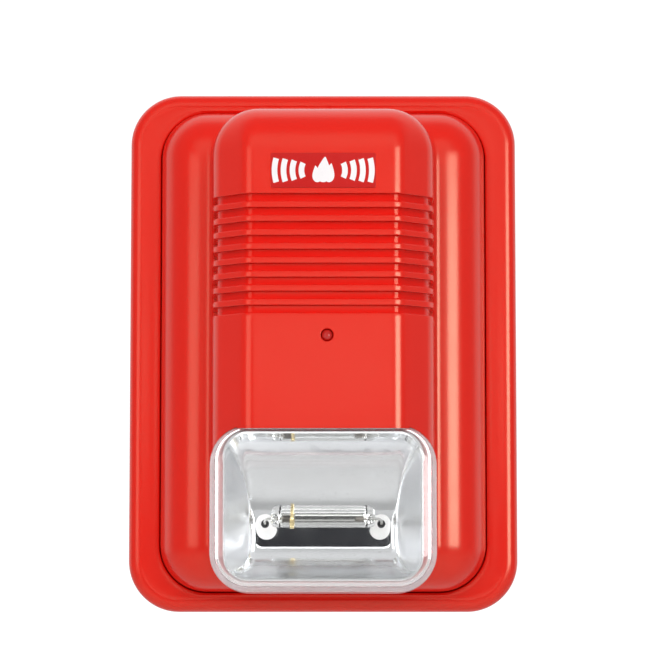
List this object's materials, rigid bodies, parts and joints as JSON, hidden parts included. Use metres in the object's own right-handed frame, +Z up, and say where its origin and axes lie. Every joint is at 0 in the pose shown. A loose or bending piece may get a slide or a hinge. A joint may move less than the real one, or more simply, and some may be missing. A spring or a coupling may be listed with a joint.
{
  "type": "horn strobe",
  "caption": "Red wall-mounted fire horn strobe: flanged back box, plug-in head with a grooved sounder tower and a clear strobe lens over a metallised reflector.",
  "frame": {"origin": "centre of the wall-screw pattern and of the cable entry, in the wall plane", "axes": "+Z up the wall, +X to the viewer's right as the viewer faces the front, +Y into the wall; the front faces -Y"},
  "size_m": [0.105, 0.0516, 0.1406],
  "materials": {
    "housing_red": "moulded ABS, glossy with a fine moulded texture",
    "lens_clear": "clear polycarbonate, polished",
    "reflector_metallised": "vacuum-metallised plastic, mirror bright",
    "tube_glass": "clear borosilicate tube",
    "electrode_metal": "sintered tungsten electrode",
    "steel_plated": "zinc-plated steel",
    "grommet_rubber": "black silicone rubber",
    "sealant_white": "white silicone sealant",
    "brass": "plain brass and bronze",
    "led_red": "tinted clear epoxy",
    "plastic_white": "moulded nylon",
    "label_dark_red": "satin printed film",
    "label_white": "satin white ink",
    "board_green": "glass-epoxy board with green solder mask",
    "sleeve_navy": "shrink sleeve on an aluminium can",
    "ferrite": "sintered ferrite",
    "tape_yellow": "polyester tape over a winding",
    "winding_copper": "enamelled copper wire",
    "film_orange": "dipped film capacitor",
    "component_black": "moulded epoxy",
    "resistor_tan": "lacquered resistor",
    "plastic_black": "moulded black ABS",
    "piezo_white": "silvered piezo ceramic",
    "wire_red": "insulated wire",
    "switch_red": "moulded switch body",
    "trimmer_blue": "moulded trimmer body",
    "block_green": "moulded nylon",
    "plastic_ivory": "moulded polyester"
  },
  "bodies": {
    "back_box": {"base_plate": "housing_red", "terminal_block": "block_green", "terminal_bars": "brass", "link_strips": "brass", "contact_housing": "plastic_ivory", "contact_springs": "brass"},
    "head": {"front_housing": "housing_red", "strobe_lens": "lens_clear", "reflector": "reflector_metallised", "flash_tube": "tube_glass", "tube_electrodes": "electrode_metal", "tube_leads": "steel_plated", "lead_grommets": "grommet_rubber", "lead_pads": "sealant_white", "trigger_wire": "brass", "status_led": "led_red", "led_spacer": "plastic_white", "label_plate": "label_dark_red", "main_board": "board_green", "flash_capacitor": "sleeve_navy", "transformer_core": "ferrite", "transformer_coil": "tape_yellow", "trigger_coil": "winding_copper", "trigger_capacitor": "film_orange", "switching_transistor": "component_black", "controller_chip": "component_black", "rectifier_diodes": "component_black", "resistors": "resistor_tan", "sounder_inductor": "ferrite", "sounder_case": "plastic_black", "sounder_cap": "plastic_black", "piezo_disc": "brass", "piezo_ceramic": "piezo_white", "disc_seal": "grommet_rubber", "sounder_leads": "wire_red", "sounder_screws": "steel_plated", "board_screws": "steel_plated", "reflector_screws": "steel_plated", "cover_screws": "steel_plated", "rear_cover": "housing_red", "contact_pins": "brass", "dip_body": "switch_red", "trimmer_body": "trimmer_blue"},
    "terminal_screw_1": {"terminal_screw_1": "steel_plated"},
    "clamp_cage_1": {"clamp_cage_1": "steel_plated"},
    "terminal_screw_2": {"terminal_screw_2": "steel_plated"},
    "clamp_cage_2": {"clamp_cage_2": "steel_plated"},
    "terminal_screw_3": {"terminal_screw_3": "steel_plated"},
    "clamp_cage_3": {"clamp_cage_3": "steel_plated"},
    "terminal_screw_4": {"terminal_screw_4": "steel_plated"},
    "clamp_cage_4": {"clamp_cage_4": "steel_plated"},
    "dip_slider_1": {"dip_slider_1": "plastic_white"},
    "dip_slider_2": {"dip_slider_2": "plastic_white"},
    "dip_slider_3": {"dip_slider_3": "plastic_white"},
    "dip_slider_4": {"dip_slider_4": "plastic_white"},
    "trimmer_rotor": {"trimmer_rotor": "plastic_white"}
  },
  "joints": [
    {"name": "head_lift_off", "type": "slide", "parent": "back_box", "child": "head", "axis": [0, -1, 0], "range_m": [0, 0.045]},
    {"name": "clamp_cage_1_rise", "type": "slide", "parent": "back_box", "child": "clamp_cage_1", "axis": [0, -1, 0], "range_m": [0, 0.0013]},
    {"name": "terminal_screw_1_turn", "type": "hinge", "parent": "back_box", "child": "terminal_screw_1", "pos_m": [-0.0075, -0.01, 0.0262], "axis": [0, 1, 0], "range_deg": [0, 936.5]},
    {"name": "clamp_cage_2_rise", "type": "slide", "parent": "back_box", "child": "clamp_cage_2", "axis": [0, -1, 0], "range_m": [0, 0.0013]},
    {"name": "terminal_screw_2_turn", "type": "hinge", "parent": "back_box", "child": "terminal_screw_2", "pos_m": [-0.0025, -0.01, 0.0262], "axis": [0, 1, 0], "range_deg": [0, 936.5]},
    {"name": "clamp_cage_3_rise", "type": "slide", "parent": "back_box", "child": "clamp_cage_3", "axis": [0, -1, 0], "range_m": [0, 0.0013]},
    {"name": "terminal_screw_3_turn", "type": "hinge", "parent": "back_box", "child": "terminal_screw_3", "pos_m": [0.0025, -0.01, 0.0262], "axis": [0, 1, 0], "range_deg": [0, 936.5]},
    {"name": "clamp_cage_4_rise", "type": "slide", "parent": "back_box", "child": "clamp_cage_4", "axis": [0, -1, 0], "range_m": [0, 0.0013]},
    {"name": "terminal_screw_4_turn", "type": "hinge", "parent": "back_box", "child": "terminal_screw_4", "pos_m": [0.0075, -0.01, 0.0262], "axis": [0, 1, 0], "range_deg": [0, 936.5]},
    {"name": "dip_slider_1_throw", "type": "slide", "parent": "head", "child": "dip_slider_1", "axis": [0, 0, 1], "range_m": [0, 0.001]},
    {"name": "dip_slider_2_throw", "type": "slide", "parent": "head", "child": "dip_slider_2", "axis": [0, 0, 1], "range_m": [0, 0.001]},
    {"name": "dip_slider_3_throw", "type": "slide", "parent": "head", "child": "dip_slider_3", "axis": [0, 0, 1], "range_m": [0, 0.001]},
    {"name": "dip_slider_4_throw", "type": "slide", "parent": "head", "child": "dip_slider_4", "axis": [0, 0, 1], "range_m": [0, 0.001]},
    {"name": "trimmer_turn", "type": "hinge", "parent": "head", "child": "trimmer_rotor", "pos_m": [-0.018, -0.0135, 0.046], "axis": [0, 1, 0], "range_deg": [-120, 120]}
  ],
  "couplings": [
    {"joint": "terminal_screw_1_turn", "follows": "clamp_cage_1_rise", "rad_per_m": 12566},
    {"joint": "terminal_screw_2_turn", "follows": "clamp_cage_2_rise", "rad_per_m": 12566},
    {"joint": "terminal_screw_3_turn", "follows": "clamp_cage_3_rise", "rad_per_m": 12566},
    {"joint": "terminal_screw_4_turn", "follows": "clamp_cage_4_rise", "rad_per_m": 12566}
  ]
}
